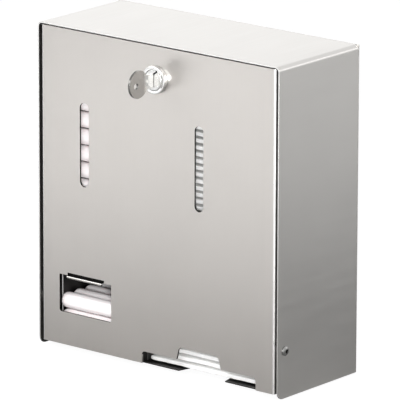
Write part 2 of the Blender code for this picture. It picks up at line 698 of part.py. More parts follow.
# Pad magazine: folded sides and rear, with a floor plate that laps its sides.
far = rear_face + COLUMN_PLAY
left = PAD_LEFT
right = PAD_RIGHT
outline = [
    (left - SHAFT_SHEET - SHAFT_FLANGE, BEHIND_DOOR),
    (left, BEHIND_DOOR),
    (left, far),
    (right, far),
    (right, BEHIND_DOOR),
    (right + SHAFT_SHEET + SHAFT_FLANGE, BEHIND_DOOR),
    (right + SHAFT_SHEET + SHAFT_FLANGE, BEHIND_DOOR + SHAFT_SHEET),
    (right + SHAFT_SHEET, BEHIND_DOOR + SHAFT_SHEET),
    (right + SHAFT_SHEET, far + SHAFT_SHEET),
    (left - SHAFT_SHEET, far + SHAFT_SHEET),
    (left - SHAFT_SHEET, BEHIND_DOOR + SHAFT_SHEET),
    (left - SHAFT_SHEET - SHAFT_FLANGE, BEHIND_DOOR + SHAFT_SHEET),
]
shaft = prism(outline, "Z", PAD_SHAFT_FOOT, PAD_SHAFT_TOP, "shaft")
skirt = prism([(left - SHAFT_SHEET, FLOOR_FRONT + 4), (left, FLOOR_FRONT + 4), (left, far), (right, far),
               (right, FLOOR_FRONT + 4), (right + SHAFT_SHEET, FLOOR_FRONT + 4),
               (right + SHAFT_SHEET, far + SHAFT_SHEET), (left - SHAFT_SHEET, far + SHAFT_SHEET)],
              "Z", FLOOR_TOP + GAP, PAD_SHAFT_FOOT + 0.5)
add(shaft, skirt)
for x in (pad_flange_left, pad_flange_right):
    for z in pad_stud_heights:
        cut(shaft, prism(circle(x, z, STUD / 2 + GAP, 12), "Y", 0, 6))
pivoted(finish(shaft, "pad_shaft", STEEL, 1.0, 0.4), *PIVOT)

lap = SHAFT_SHEET + GAP
floor_rear = far + SHAFT_SHEET
outline = strip(
    [(left - lap, FLOOR_TOP + FLOOR_UPSTAND), (left - lap, FLOOR_TOP), (right + lap, FLOOR_TOP),
     (right + lap, FLOOR_TOP + FLOOR_UPSTAND)],
    FLOOR_SHEET,
)
floor = prism(outline, "Y", FLOOR_FRONT, floor_rear, "floor")
wide = FINGER_WIDE / 2
narrow = FINGER_NARROW / 2
taper = FLOOR_FRONT + FINGER_TAPER
middle = step_centre + FINGER_OFFSET
finger = [(middle - wide, -5.0), (middle + wide, -5.0), (middle + wide, FLOOR_FRONT),
          (middle + narrow, taper)]
finger += [(middle + narrow * math.cos(a), FINGER_REACH - narrow + narrow * math.sin(a))
           for a in [math.pi * i / 12 for i in range(13)]]
finger += [(middle - narrow, taper), (middle - wide, FLOOR_FRONT)]
cut(floor, prism(finger, "Z", FLOOR_TOP - 5, FLOOR_TOP + 5))
pivoted(finish(floor, "pad_floor", STEEL, 1.0, 0.4), *PIVOT)


# The packets lie fold to the front, pressed together, so their fronts and backs make a row of bumps.
fold = PAD_PITCH / 2
outline = []
for i in range(PAD_COUNT):
    level = FLOOR_TOP + GAP + PAD_PITCH * i
    outline += [(PAD_FRONT + fold - fold * math.cos(a), level + fold + fold * math.sin(a))
                for a in [-math.pi * 0.44 + math.pi * 0.88 * k / 6 for k in range(7)]]
back_edge = PAD_FRONT + PAD_DEPTH
for i in range(PAD_COUNT - 1, -1, -1):
    level = FLOOR_TOP + GAP + PAD_PITCH * i
    outline += [(back_edge - 0.8, level + PAD_PITCH - 0.1), (back_edge, level + PAD_PITCH - 1.2),
                (back_edge, level + 1.2), (back_edge - 0.8, level + 0.1)]
pads = prism(outline, "X", PAD_CENTRE - PAD_WIDTH / 2, PAD_CENTRE + PAD_WIDTH / 2, "pads")
pivoted(finish(pads, "pad_stack", WHITE, 0.0, 0.6), *PIVOT)

for number, (x, z) in enumerate(stud_places, 1):
    low = BEHIND_DOOR + SHAFT_SHEET + GAP
    bore = STUD / 2 + GAP
    profile = [(bore, low), (STUD_NUT / math.sqrt(3), low), (STUD_NUT / math.sqrt(3), low + STUD_NUT_THICK),
               (bore, low + STUD_NUT_THICK)]
    nut = lathe(profile, "Y", (x, FRONT, z), 6, "nut")
    pivoted(finish(nut, f"magazine_nut_{number}", ZINC, 1.0, 0.4), *PIVOT)

# Cam lock: a flanged barrel clamped in the door by its nut, and a plug that the key turns.
lock = (0.0, FRONT, LOCK_HEIGHT)
bezel_rear = -GAP
collar = PLUG_COLLAR / 2 + GAP
bore = PLUG / 2 + GAP
collar_depth = 1.4
profile = [
    (bore, BARREL_LENGTH),
    (bore, collar_depth + GAP),
    (collar, collar_depth + GAP),
    (collar, -FACE_PROUD + 0.1),
    (BEZEL / 2 - 0.6, -FACE_PROUD + 0.1),
    (BEZEL / 2, -FACE_PROUD + 0.7),
    (BEZEL / 2, bezel_rear),
    (BARREL / 2, bezel_rear),
    (BARREL / 2, BARREL_LENGTH),
]
barrel = lathe(profile, "Y", lock, 40, "barrel")
pivoted(finish(barrel, "lock_barrel", CHROME, 1.0, 0.08), *PIVOT)

washer_low = BEHIND_DOOR
washer_high = washer_low + LOCK_WASHER_THICK
thread = BARREL / 2 + GAP
ring = lathe([(thread, washer_low), (LOCK_WASHER / 2, washer_low), (LOCK_WASHER / 2, washer_high),
              (thread, washer_high)], "Y", lock, 32, "washer")
pivoted(finish(ring, "lock_washer", ZINC, 1.0, 0.4), *PIVOT)

nut_low = washer_high + GAP
nut_high = nut_low + LOCK_NUT_THICK
hexagon = LOCK_NUT / math.sqrt(3)
big_nut = prism(circle(0, LOCK_HEIGHT, hexagon, 6), "Y", nut_low, nut_high, "big_nut")
cut(big_nut, prism(circle(0, LOCK_HEIGHT, thread, 32), "Y", nut_low - 5, nut_high + 5))
pivoted(finish(big_nut, "lock_nut", ZINC, 1.0, 0.4), *PIVOT)

cam_low = BARREL_LENGTH + GAP + GAP
cam_high = cam_low + CAM_SHEET
plug_end = BARREL_LENGTH + GAP
plug_profile = [
    (0, -FACE_PROUD),
    (PLUG_COLLAR / 2 - 0.4, -FACE_PROUD),
    (PLUG_COLLAR / 2, -FACE_PROUD + 0.4),
    (PLUG_COLLAR / 2, collar_depth),
    (PLUG / 2, collar_depth),
    (PLUG / 2, plug_end),
    (0, plug_end),
]
plug = lathe(plug_profile, "Y", lock, 32, "plug")
half = TAIL_SQUARE / 2
add(plug, box(-half, half, plug_end - 1, cam_high, LOCK_HEIGHT - half, LOCK_HEIGHT + half))
wide, tall = KEYWAY
key_end = -FACE_PROUD + KEY_BLADE_LENGTH
cut(plug, box(-wide / 2, wide / 2, -FACE_PROUD - 5, key_end + 0.6, LOCK_HEIGHT - tall / 2,
              LOCK_HEIGHT + tall / 2))
pivoted(finish(plug, "lock_plug", CHROME, 1.0, 0.1), 0.0, LOCK_HEIGHT)

cam_tip = -(LOCK_WASHER / 2 + KEEPER_CLEARANCE + CAM_LAP)
cam_outline = [(CAM_WIDTH / 2, LOCK_HEIGHT - CAM_WIDTH / 2), (CAM_WIDTH / 2, LOCK_HEIGHT + CAM_WIDTH / 2),
               (cam_tip + 3, LOCK_HEIGHT + CAM_WIDTH / 2), (cam_tip, LOCK_HEIGHT + CAM_WIDTH / 2 - 3),
               (cam_tip, LOCK_HEIGHT - CAM_WIDTH / 2 + 3), (cam_tip + 3, LOCK_HEIGHT - CAM_WIDTH / 2)]
cam = prism(cam_outline, "Y", cam_low, cam_high, "cam")
loose = half + GAP
cut(cam, box(-loose, loose, cam_low - 5, cam_high + 5, LOCK_HEIGHT - loose, LOCK_HEIGHT + loose))
pivoted(finish(cam, "lock_cam", ZINC, 1.0, 0.35), 0.0, LOCK_HEIGHT)

screw_low = cam_high + GAP
screw_profile = [
    (0, screw_low),
    (CAM_SCREW / 2, screw_low),
    (CAM_SCREW / 2, screw_low + CAM_SCREW_HEAD - 0.8),
    (CAM_SCREW / 2 - 0.8, screw_low + CAM_SCREW_HEAD),
    (0, screw_low + CAM_SCREW_HEAD),
]
screw = lathe(screw_profile, "Y", lock, 24, "screw")
cut(screw, box(-5, 5, screw_low + CAM_SCREW_HEAD - 1.2, screw_low + 9, LOCK_HEIGHT - 0.6,
               LOCK_HEIGHT + 0.6))
pivoted(finish(screw, "cam_screw", ZINC, 1.0, 0.35), 0.0, LOCK_HEIGHT)

bow = KEY_BOW / 2
neck_half = KEY_NECK / 2
spread = math.asin(neck_half / bow)
steps = 30
outline = [
    (-KEY_BOW_OFFSET + bow * math.cos(a), LOCK_HEIGHT + bow * math.sin(a))
    for a in [spread + (2 * math.pi - 2 * spread) * i / steps for i in range(steps + 1)]
]
shoulder = -FACE_PROUD - GAP
outline += [
    (shoulder, LOCK_HEIGHT - neck_half),
    (shoulder, LOCK_HEIGHT - KEY_BLADE / 2),
    (key_end - 2.0, LOCK_HEIGHT - KEY_BLADE / 2),
    (key_end, LOCK_HEIGHT - 0.5),
    (key_end - 2.5, LOCK_HEIGHT + KEY_BLADE / 2 - 1.5),
    (key_end - 5.0, LOCK_HEIGHT + KEY_BLADE / 2 - 2.6),
    (key_end - 8.0, LOCK_HEIGHT + KEY_BLADE / 2 - 1.2),
    (key_end - 10.0, LOCK_HEIGHT + KEY_BLADE / 2 - 2.2),
    (key_end - 13.0, LOCK_HEIGHT + KEY_BLADE / 2),
    (shoulder, LOCK_HEIGHT + KEY_BLADE / 2),
    (shoulder, LOCK_HEIGHT + neck_half),
]
key = prism(outline, "X", -KEY_THICK / 2, KEY_THICK / 2, "key")
cut(key, prism(circle(-KEY_BOW_OFFSET - 3.5, LOCK_HEIGHT - 1.0, KEY_HOLE / 2, 20), "X", -5, 5))
pivoted(finish(key, "key", ZINC, 1.0, 0.25), 0.0, LOCK_HEIGHT)
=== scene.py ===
"""Looks for a wall dispenser for tampons and pads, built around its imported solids."""

import json
import math

import bmesh
import bpy
import numpy as np
from mathutils import Matrix, Vector


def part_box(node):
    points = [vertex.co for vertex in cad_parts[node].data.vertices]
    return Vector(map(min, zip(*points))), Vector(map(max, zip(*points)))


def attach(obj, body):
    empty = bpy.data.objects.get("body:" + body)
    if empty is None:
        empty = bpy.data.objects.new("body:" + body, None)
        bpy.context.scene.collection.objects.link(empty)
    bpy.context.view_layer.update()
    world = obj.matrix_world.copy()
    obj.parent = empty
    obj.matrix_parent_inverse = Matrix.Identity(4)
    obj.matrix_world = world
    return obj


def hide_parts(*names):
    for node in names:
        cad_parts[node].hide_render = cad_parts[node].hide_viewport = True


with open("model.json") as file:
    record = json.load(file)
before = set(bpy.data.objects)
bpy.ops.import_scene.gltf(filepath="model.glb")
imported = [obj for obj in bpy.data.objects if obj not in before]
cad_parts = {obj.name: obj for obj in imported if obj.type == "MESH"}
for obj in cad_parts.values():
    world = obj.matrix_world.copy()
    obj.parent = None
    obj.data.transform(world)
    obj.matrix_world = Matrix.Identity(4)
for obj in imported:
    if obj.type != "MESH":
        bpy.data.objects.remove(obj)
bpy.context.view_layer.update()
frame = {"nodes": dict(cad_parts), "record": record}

# Back plate
# The flat plate that hangs on the wall, 1 mm stainless sheet, cut with keyholes and two screw holes.
# The case is spot welded to it.


def linear(hex_value):
    """The linear colour of an sRGB hex value."""
    channels = [int(hex_value[i : i + 2], 16) / 255 for i in (1, 3, 5)]
    return [c / 12.92 if c <= 0.04045 else ((c + 0.055) / 1.055) ** 2.4 for c in channels] + [1.0]


def node(tree, kind, settings=None, **inputs):
    """Adds a node, sets its properties and feeds its inputs with values or other sockets. An input is
    given by its name, or by the letter i and its number."""
    made = tree.nodes.new(kind)
    for key, value in (settings or {}).items():
        setattr(made, key, value)
    for key, value in inputs.items():
        numbered = key[0] == "i" and key[1:].isdigit()
        socket = made.inputs[int(key[1:]) if numbered else key.replace("_", " ")]
        if isinstance(value, bpy.types.NodeSocket):
            tree.links.new(value, socket)
        else:
            socket.default_value = value
    return made


# Most of a noise's values lie between these two.
NOISE_LOW, NOISE_HIGH = 0.3, 0.7


def plain_material(name, metallic):
    """A new material with its node tree, its shader and the Object coordinates that patterns read."""
    made = bpy.data.materials.new(name)
    made.use_nodes = True
    tree = made.node_tree
    shader = tree.nodes["Principled BSDF"]
    shader.inputs["Metallic"].default_value = metallic
    return made, tree, shader, node(tree, "ShaderNodeTexCoord").outputs["Object"]


def to_the_metre(size):
    """How many marks of a size in millimetres there are to the metre, as a whole number."""
    return round(1000 / size)


def stainless_sheet(name, light, dark, marks, rough):
    """Cold rolled stainless sheet: fine marks, drawn out along the grain if it has one, give a soft and
    slightly streaked shine, over faint clouds 71.4 mm across. Marks is their size along x, y and z in
    millimetres."""
    made, tree, shader, place = plain_material(name, 1.0)
    number = [to_the_metre(size) for size in marks]
    stretched = node(tree, "ShaderNodeMapping", Vector=place, Scale=number).outputs["Vector"]
    streaks = node(tree, "ShaderNodeTexNoise", Vector=stretched, Scale=1.0, Detail=3.0, Roughness=0.6)
    clouds = node(tree, "ShaderNodeTexNoise", Vector=place, Scale=to_the_metre(71.4), Detail=2.0,
                  Roughness=0.5)
    shade = node(tree, "ShaderNodeMix", {"data_type": "RGBA"}, i0=clouds.outputs["Fac"],
                 i6=linear(light), i7=linear(dark))
    polish = node(tree, "ShaderNodeMapRange", Value=streaks.outputs["Fac"], From_Min=NOISE_LOW,
                  From_Max=NOISE_HIGH, To_Min=rough - 0.03, To_Max=rough + 0.03)
    scratches = node(tree, "ShaderNodeBump", Height=streaks.outputs["Fac"], Strength=0.04,
                     Distance=0.0001)
    tree.links.new(shade.outputs[2], shader.inputs["Base Color"])
    tree.links.new(polish.outputs[0], shader.inputs["Roughness"])
    tree.links.new(scratches.outputs["Normal"], shader.inputs["Normal"])
    return made


def placed(name, data):
    """A new object of the given data, in the scene."""
    made = bpy.data.objects.new(name, data)
    bpy.context.scene.collection.objects.link(made)
    return made


def shaded(name, work, crease):
    """A new piece from a worked mesh, smooth but for the edges sharper than the crease in degrees."""
    for face in work.faces:
        face.smooth = True
    for line in work.edges:
        line.smooth = line.calc_face_angle(0.0) < math.radians(crease)
    mesh = bpy.data.meshes.new(name)
    work.to_mesh(mesh)
    work.free()
    return placed(name, mesh)


SAME_POINT = 1e-6
SAME_PLANE = math.radians(0.5)


def finished(name, edge=0.00012, crease=30.0):
    """A copy of a CAD solid with its corners merged, its flat faces made whole, and its edges, those
    sharper than the crease in degrees, broken by a small bevel. It takes the solid's place and rides on
    the solid's body."""
    solid = frame["nodes"][name]
    work = bmesh.new()
    work.from_mesh(solid.data)
    bmesh.ops.remove_doubles(work, verts=work.verts, dist=SAME_POINT)
    bmesh.ops.dissolve_limit(work, angle_limit=SAME_PLANE, verts=work.verts, edges=work.edges)
    piece = shaded(name + "_finished", work, crease)
    bevel = piece.modifiers.new("broken_edge", "BEVEL")
    bevel.width = edge
    bevel.segments = 2
    bevel.limit_method = "ANGLE"
    bevel.angle_limit = math.radians(crease)
    bevel.harden_normals = True
    bevel.use_clamp_overlap = True
    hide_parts(name)
    bodies = frame["record"]["behaviour"]["bodies"]
    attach(piece, next(body for body, names in bodies.items() if name in names))
    return piece


def paint(piece, *materials):
    """Gives a piece its materials, in the order of their numbers on its faces."""
    for material in materials:
        piece.data.materials.append(material)


# Dull polished sheet is pale and slightly warm, with a blurred shine. Its scratches are about 0.05 mm
# wide, and are drawn as streaks of this width and length in millimetres, so that they show.
STREAK_WIDTH, STREAK_LENGTH = 2.38, 71.4
case_steel = stainless_sheet("satin_stainless_case", "#DAD8D5", "#D3D1CE",
                             (STREAK_WIDTH, STREAK_LENGTH, STREAK_WIDTH), 0.34)
paint(finished("back_plate"), case_steel)

# Case wrap
# Top and both sides folded from one 1 mm stainless sheet, with rounded bends and bare cut edges in front.
# Its satin grain runs front to back.
CASE_SHEET = 0.001
# A face looks along an axis if the cosine of its angle to it is above this.
FACING = 0.9
# Inside, the sheet has its dull grey mill finish, and its cut edges are bright. The marks of both are
# under a millimetre across, and are drawn in these sizes in millimetres, so that they show.
MILL_MARKS = (16.7, 16.7, 16.7)
EDGE_MARKS = (3.33, 3.33, 3.33)
mill_inside = stainless_sheet("mill_stainless_inside", "#7C7A79", "#71706E", MILL_MARKS, 0.42)
# The same bright cut-edge material is laid on the door's side bends as a painted highlight.
cut_edge_and_bend_highlight = stainless_sheet("bright_stainless_cut_edge_and_bend_highlight", "#F6F5F3", "#EFEEEC", EDGE_MARKS, 0.3)
housing_shell = finished("housing_shell", 0.00015)
paint(housing_shell, case_steel, mill_inside, cut_edge_and_bend_highlight)
low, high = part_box("housing_shell")
for face in housing_shell.data.polygons:
    front_edge = face.normal.y < -FACING and face.center.y < low[1] + CASE_SHEET
    under_top = face.normal.z < -0.1 and face.center.z > 0
    looks_inward = face.normal.x * face.center.x < -1e-4
    inside = looks_inward or under_top or abs(face.normal.y) > FACING
    face.material_index = 2 if front_edge else int(inside)

# Lock keeper
# A bent strip of zinc plated steel, fixed under the top of the case. The lock's cam turns up behind it
# and holds the door shut.


def cloudy_metal(name, colour, rough):
    """Metal without a grain, such as zinc plating: faint patches 2.5 mm across cloud its colour and its
    shine."""
    made, tree, shader, place = plain_material(name, 1.0)
    patches = node(tree, "ShaderNodeTexNoise", Vector=place, Scale=to_the_metre(2.5), Detail=3.0,
                   Roughness=0.6)
    darker = node(tree, "ShaderNodeMix", {"data_type": "RGBA", "blend_type": "MULTIPLY"},
                  i0=patches.outputs["Fac"], i6=linear(colour), i7=linear("#CED0D1"))
    polish = node(tree, "ShaderNodeMapRange", Value=patches.outputs["Fac"], From_Min=NOISE_LOW,
                  From_Max=NOISE_HIGH, To_Min=rough - 0.06, To_Max=rough + 0.06)
    tree.links.new(darker.outputs[2], shader.inputs["Base Color"])
    tree.links.new(polish.outputs[0], shader.inputs["Roughness"])
    return made


# Zinc plating looks brighter and cooler than the mill finish round it.
zinc = cloudy_metal("zinc_plated_steel", "#D6D7D6", 0.35)
paint(finished("lock_keeper"), zinc)

# Pivots and stops
# Blind rivets through the case and the door's returns, washers that take up the side gap, and short
# weld studs that stop the open door. The aluminium of the rivets is a clean mid grey. The bore of each,
# with the steel stub of the mandrel in it, is painted dark: a painted shade in the hollow.
RIVET_BORE = 0.00115
rivet_aluminium = cloudy_metal("rivet_aluminium", "#ABAAA8", 0.3)
# Painted shade in each rivet's bore.
painted_shade_bore = cloudy_metal("painted_shade_rivet_bore", "#3A3836", 0.6)
for side in ("left", "right"):
    rivet = finished(f"pivot_rivet_{side}", 0.0001, 40.0)
    paint(rivet, rivet_aluminium, painted_shade_bore)
    low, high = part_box(f"pivot_rivet_{side}")
    for face in rivet.data.polygons:
        off_y = face.center.y - (low[1] + high[1]) / 2
        off_z = face.center.z - (low[2] + high[2]) / 2
        face.material_index = int(math.hypot(off_y, off_z) < RIVET_BORE)
    paint(finished(f"pivot_spacer_{side}"), zinc)
    paint(finished(f"stop_pin_{side}"), zinc)

# Buffers
# Black rubber pads on small welded brackets, which the door's returns lean on when it is shut.
# Moulded rubber is nearly black and dull, with specks and pores 0.67 mm across.
buffer_rubber, tree, shader, place = plain_material("black_rubber", 0.0)
specks = node(tree, "ShaderNodeTexNoise", Vector=place, Scale=to_the_metre(0.6667), Detail=2.0)
shade = node(tree, "ShaderNodeMix", {"data_type": "RGBA"}, i0=specks.outputs["Fac"], i6=linear("#202021"),
             i7=linear("#2E2E2F"))
pores = node(tree, "ShaderNodeBump", Height=specks.outputs["Fac"], Strength=0.3, Distance=0.0001)
tree.links.new(shade.outputs[2], shader.inputs["Base Color"])
tree.links.new(pores.outputs["Normal"], shader.inputs["Normal"])
shader.inputs["Roughness"].default_value = 0.72
for side in ("left", "right"):
    paint(finished(f"buffer_bracket_{side}"), case_steel)
    paint(finished(f"door_buffer_{side}", 0.0003), buffer_rubber)

# Front door
# A pan folded from 1.5 mm stainless sheet, satin finished with an upright grain. Its slots, hatch and
# outlet are laser cut, and their walls are painted nearly black and dull: a painted shade. The bends at
# its sides are painted with the bright cut-edge material: a painted highlight.
DOOR_SHEET = 0.0015
DOOR_FOLDS = 0.004
# A face of a bend is tilted by more than this, as a cosine, and is larger than this in square metres.
TILTED = 0.15
BEND_AREA = 1e-5
door_steel = stainless_sheet("satin_stainless_door", "#DAD6D2", "#D4D0CC",
                             (STREAK_WIDTH, STREAK_WIDTH, STREAK_LENGTH), 0.36)
# Painted shade: a near black material for the walls of the door's cuts.
painted_shade_cut_wall = cloudy_metal("painted_shade_stainless_cut_wall", "#1F1E1D", 0.55)
front_door = finished("front_door", 0.0002)
paint(front_door, door_steel, cut_edge_and_bend_highlight, painted_shade_cut_wall)
low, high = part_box("front_door")
door_front = low[1]
for face in front_door.data.polygons:
    # Faces of the side bends get the bright cut-edge material: a painted highlight.
    painted_bend_highlight = face.normal.y < -TILTED and abs(face.normal.x) > TILTED and face.area > BEND_AREA
    # Walls of the slots, hatch and outlet get the near black material: a painted shade.
    painted_shade_wall = abs(face.normal.y) < TILTED and face.center.y < door_front + DOOR_SHEET
    off_the_folds = abs(face.center.x) < high[0] - DOOR_FOLDS and low[2] < face.center.z - DOOR_FOLDS
    face.material_index = 2 if painted_shade_wall and off_the_folds else int(painted_bend_highlight)

# Hatch lip
# A strip of thinner stainless at the top of the hatch, rolled over at its edge so that fingers are safe.
# It shines more than the door. Its top and its rear side are painted nearly black: a painted shade.
FACING_UP = 0.85
lip_steel = stainless_sheet("bright_stainless_lip", "#CFCDCA", "#C6C4C1",
                            (STREAK_LENGTH, STREAK_WIDTH, STREAK_WIDTH), 0.26)
# Painted shade: a near black material on the lip's top and rear faces.
painted_shade_lip = cloudy_metal("painted_shade_steel_lip", "#262524", 0.6)
hatch_lip = finished("hatch_lip", 0.0001)
paint(hatch_lip, lip_steel, painted_shade_lip)
for face in hatch_lip.data.polygons:
    face.material_index = int(face.normal.z > FACING_UP or face.center.y > door_front)

# Tampon magazine
# Side plates, folded rear wall, sloping ramp and tray floor, all plain stainless sheet, spot welded.
# The sheet is grey, and painted darker where the sides face the tampons, a painted shade. Deburring
# leaves the front edges of the sides pale and nearly matte. The marks are drawn 11.1 mm across, coarser
# than real, so that they show.
MAGAZINE_MARKS = (11.1, 11.1, 11.1)
deburred_edge = stainless_sheet("deburred_stainless_edge", "#F6F5F3", "#EFEEEC", EDGE_MARKS, 0.5)
deburred_edge.node_tree.nodes["Principled BSDF"].inputs["Metallic"].default_value = 0.3
# Painted shade: a darker copy of the mill sheet for the magazine sides facing the tampons and the pad
# floor.
painted_shade_steel = stainless_sheet("painted_shade_mill_stainless", "#4A4948", "#403F3E", MILL_MARKS, 0.36)
magazine_steel = stainless_sheet("mill_stainless_magazine", "#8A8987", "#7E7D7B", MAGAZINE_MARKS, 0.34)
for name, inward in (("shaft_side_left", 1), ("shaft_side_right", -1)):
    side_plate = finished(name)
    paint(side_plate, magazine_steel, painted_shade_steel, deburred_edge)
    for face in side_plate.data.polygons:
        front_edge = face.normal.y < -FACING
        face.material_index = 1 if inward * face.normal.x > FACING else 2 * int(front_edge)
for name in ("shaft_back", "return_ramp", "pickup_tray"):
    paint(finished(name), magazine_steel)

# Tampons
# Each is a roll in a close white film wrap, with a domed end and a lengthwise seam. They lie across the
# magazine and touch one another.
COLUMN_PITCH = 0.01407
# The rolls are a little slimmer than their solids, so that dark lines stay between them.
COLUMN_ROLL = 0.0131
TRAY_ROLL = 0.0130
LOOSE_ROLL = 0.0134
# A wrapped piece ends just short of its solid's ends.
SHORT_OF_SOLID = 0.998
# The wrap is slimmer by this much all round, which leaves room for its seam.
SEAM_ALLOWANCE = 0.0001
DOME_POWER = 20
GATHERS = 12
GATHER_DEPTH = 0.022
GATHER_POWER = 14
SEAM_HEIGHT = 0.00022
SEAM_ANGLE = 2.2
SEAM_HALF_WIDTH = 0.09
# From one roll to the next, the gathers and the seam are turned by these angles in radians.
GATHER_STEP = 1.7
SEAM_STEP = 0.7


def film_wrap(name, light, dark, folds, crinkle, depth, rough, bleed):
    """White wrapping film over a soft core: nearly matte, with shallow crinkles and a low shine on them.
    Folds is how far apart they lie in millimetres, crinkle and depth are the strength and height of the
    relief, and bleed is how far red, green and blue light spreads inside, in metres."""
    made, tree, shader, place = plain_material(name, 0.0)
    creases = node(tree, "ShaderNodeTexNoise", Vector=place, Scale=to_the_metre(folds), Detail=4.0,
                   Roughness=0.6)
    shade = node(tree, "ShaderNodeMix", {"data_type": "RGBA"}, i0=creases.outputs["Fac"],
                 i6=linear(light), i7=linear(dark))
    relief = node(tree, "ShaderNodeBump", Height=creases.outputs["Fac"], Strength=crinkle, Distance=depth)
    tree.links.new(shade.outputs[2], shader.inputs["Base Color"])
    tree.links.new(relief.outputs["Normal"], shader.inputs["Normal"])
    shader.inputs["Roughness"].default_value = rough
    shader.inputs["Subsurface Weight"].default_value = 0.12
    shader.inputs["Subsurface Radius"].default_value = bleed
    shader.inputs["Subsurface Scale"].default_value = 1.0
    return made


def skin(name, grids, crease=math.inf):
    """One piece from grids of points, each (rows, columns, 3) and closed from its last column to its
    first. Points that meet are merged and faces turned outwards. All edges are smooth, unless a crease
    is given in degrees."""
    points = []
    faces = []
    start = 0
    for grid in grids:
        rows, columns = grid.shape[:2]
        i, j = np.meshgrid(np.arange(rows - 1), np.arange(columns), indexing="ij")
        a = start + i * columns + j
        b = start + i * columns + (j + 1) % columns
        faces.append(np.stack([a, a + columns, b + columns, b], axis=-1).reshape(-1, 4))
        points.append(grid.reshape(-1, 3))
        start += rows * columns
    open_mesh = bpy.data.meshes.new(name + "_grids")
    open_mesh.from_pydata(np.concatenate(points).tolist(), [], np.concatenate(faces).tolist())
    work = bmesh.new()
    work.from_mesh(open_mesh)
    bpy.data.meshes.remove(open_mesh)
    bmesh.ops.remove_doubles(work, verts=work.verts, dist=SAME_POINT)
    bmesh.ops.recalc_face_normals(work, faces=work.faces)
    return shaded(name, work, crease)


def tampon_rolls(name, solid, centres, across):
    """Wrapped rolls along X, as long as a solid and in its place, at the given (y, z) centres. A roll's
    radius is R times the root of 1 - |s|^p, where s runs from -1 to 1 along it and p is large, so the
    body is straight and the ends are domes. Small waves round the ends are the gathered film, and a low
    bell-shaped ridge along it is the seam."""
    low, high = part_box(solid)
    middle = (low[0] + high[0]) / 2
    half_length = (high[0] - low[0]) / 2 * SHORT_OF_SOLID
    around = np.linspace(0, 2 * math.pi, 49)[:-1]
    along = np.cos(np.linspace(0, math.pi, 41))
    s = -np.sign(along) * np.abs(along) ** 0.35
    body = (1 - np.abs(s) ** DOME_POWER)[:, None] ** 0.5
    grids = []
    for k, (y, z) in enumerate(centres):
        waves = 1 + np.cos(GATHERS * around + GATHER_STEP * k)
        gather = 1 - GATHER_DEPTH * np.abs(s[:, None]) ** GATHER_POWER * waves
        from_seam = (around - SEAM_ANGLE - SEAM_STEP * k + math.pi) % (2 * math.pi) - math.pi
        ridge = SEAM_HEIGHT * np.exp(-((from_seam / SEAM_HALF_WIDTH) ** 2))
        radius = np.maximum((across / 2 * body - SEAM_ALLOWANCE) * gather + ridge * body, 0)
        grid = np.empty((len(s), len(around), 3))
        grid[:, :, 0] = middle + s[:, None] * half_length
        grid[:, :, 1] = y + radius * np.cos(around)
        grid[:, :, 2] = z + radius * np.sin(around)
        grids.append(grid)
    piece = skin(name, grids)
    paint(piece, tampon_film)
    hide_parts(solid)
    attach(piece, "door")


def centre_of(solid):
    """The (y, z) centre of a single roll's solid."""
    low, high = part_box(solid)
    return (low[1] + high[1]) / 2, (low[2] + high[2]) / 2


# The film is a warm white with a low gloss and fine folds.
tampon_film = film_wrap("white_film_wrap_tampon", "#FBF6F6", "#F4EDEE", 2.86, 0.12, 0.0003, 0.42,
                        (0.002, 0.0015, 0.0015))
low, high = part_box("tampon_column")
roll = (high[1] - low[1]) / 2
count = 1 + round((high[2] - low[2] - 2 * roll) / COLUMN_PITCH)
column = [((low[1] + high[1]) / 2, high[2] - roll - COLUMN_PITCH * k) for k in range(count)]
tampon_rolls("tampon_column_rolls", "tampon_column", column, COLUMN_ROLL)
low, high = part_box("tampons_in_tray")
layer = high[2] - low[2] - 2 * roll
rows = 1 + round((high[1] - low[1] - 2 * roll) / layer)
tray = [(low[1] + roll + layer * i, high[2] - roll - layer * j) for i in range(rows) for j in range(2)]
# The first place in the tray is the front tampon's own.
tampon_rolls("tampon_tray_rolls", "tampons_in_tray", tray[1:], TRAY_ROLL)
for solid in [f"ramp_tampon_{number}" for number in range(1, 7)] + ["front_tampon"]:
    tampon_rolls(f"{solid}_roll", solid, [centre_of(solid)], LOOSE_ROLL)

# Pad magazine
# Sides and rear folded from one stainless sheet, and a floor plate with a finger cut-out below. The
# sheet is left in its grey mill finish, and the floor, which lies in its shade, is painted darker: a
# painted shade.
paint(finished("pad_shaft"), mill_inside)
paint(finished("pad_floor"), painted_shade_steel)

# Pads
# Folded pads, each in its own white film packet with the round fold to the front. They are pressed into
# a stack, and are drawn out one by one at its foot.
PAD_PITCH = 0.00556
# A packet lies this far inside its share of the stack: above and below, and in front and behind.
PACKET_GAP = 0.0006
PACKET_PLAY = 0.0004
# Its fold bulges forward by the first, and is slimmer by this share over about this length.
FOLD_BULGE = 0.003
FOLD_SLIMNESS = 0.2
FOLD_LENGTH = 0.009
DEPTH_POWER, HEIGHT_POWER, END_POWER = 60, 7, 50
# Two waves run along a fold: for each its height, how fast it runs and its step from packet to packet.
FOLD_WAVES = ((0.00035, 9, 2.1), (0.00025, 23, 1.3))
low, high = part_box("pad_stack")
depth = high[1] - low[1]
around = np.linspace(0, 2 * math.pi, 57)[:-1]
